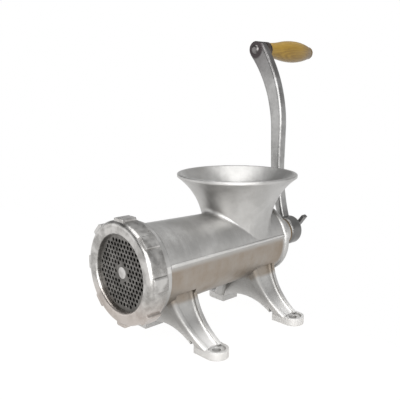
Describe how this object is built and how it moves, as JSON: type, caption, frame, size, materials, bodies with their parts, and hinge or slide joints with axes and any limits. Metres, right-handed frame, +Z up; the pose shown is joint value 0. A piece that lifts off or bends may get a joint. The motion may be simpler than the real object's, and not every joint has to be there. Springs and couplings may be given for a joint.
{
  "type": "hand crank meat grinder",
  "caption": "Bolt-down hand crank meat grinder: flared hopper over a horizontal barrel with feed auger, knife, perforated plate, lugged ring nut, bent crank and turned wooden grip.",
  "frame": {"origin": "middle of the four foot holes, on the table", "axes": "+Z up, +Y along the barrel from the grinding plate to the crank, +X to the right of someone who looks along +Y"},
  "size_m": [0.173, 0.4354, 0.3896],
  "materials": {
    "tinned_casting": "tinned, satin, cast skin with light wear",
    "tinned_ring": "tinned, brighter, worn on the lugs",
    "plate_steel": "ground steel, dulled by use",
    "bright_steel": "turned bright",
    "crank_tin": "tinned malleable iron, smooth",
    "bush_bronze": "machined",
    "fibre": "vulcanised fibre, dull red",
    "ferrule_steel": "blued steel",
    "grip_wood": "turned hardwood, oiled"
  },
  "bodies": {
    "casting": {"body_casting": "tinned_casting", "plate_key": "bright_steel", "rear_bush": "bush_bronze"},
    "drive": {"crank_arm": "crank_tin", "feed_auger": "tinned_casting", "auger_stud": "bright_steel", "cross_knife": "bright_steel", "thrust_washer": "fibre", "grip_spindle": "bright_steel", "grip_washer": "bright_steel", "grip_end_washer": "bright_steel"},
    "grip": {"wood_grip": "grip_wood", "grip_ferrule": "ferrule_steel"},
    "plate": {"grinding_plate": "plate_steel"},
    "ring": {"ring_nut": "tinned_ring"},
    "washer": {"crank_washer": "bright_steel"},
    "wing": {"wing_screw": "crank_tin"}
  },
  "joints": [
    {"name": "crank_turn", "type": "hinge", "parent": "casting", "child": "drive", "pos_m": [0, 0.14, 0.105], "axis": [0, 1, 0], "continuous": true},
    {"name": "grip_spin", "type": "hinge", "parent": "drive", "child": "grip", "pos_m": [-0.064, 0.2, 0.373], "axis": [0, 1, 0], "continuous": true},
    {"name": "plate_draw", "type": "slide", "parent": "casting", "child": "plate", "axis": [0, -1, 0], "range_m": [0, 0.018]},
    {"name": "ring_turn", "type": "hinge", "parent": "plate", "child": "ring", "pos_m": [0, -0.15, 0.105], "axis": [0, -1, 0], "range_deg": [0, 2160]},
    {"name": "washer_draw", "type": "slide", "parent": "drive", "child": "washer", "axis": [0, 1, 0], "range_m": [0, 0.0195]},
    {"name": "wing_turn", "type": "hinge", "parent": "washer", "child": "wing", "pos_m": [0, 0.165, 0.105], "axis": [0, 1, 0], "range_deg": [0, 4680]}
  ],
  "couplings": [
    {"joint": "plate_draw", "follows": "ring_turn", "m_per_rad": 0.00047746},
    {"joint": "washer_draw", "follows": "wing_turn", "m_per_rad": 0.00023873}
  ]
}
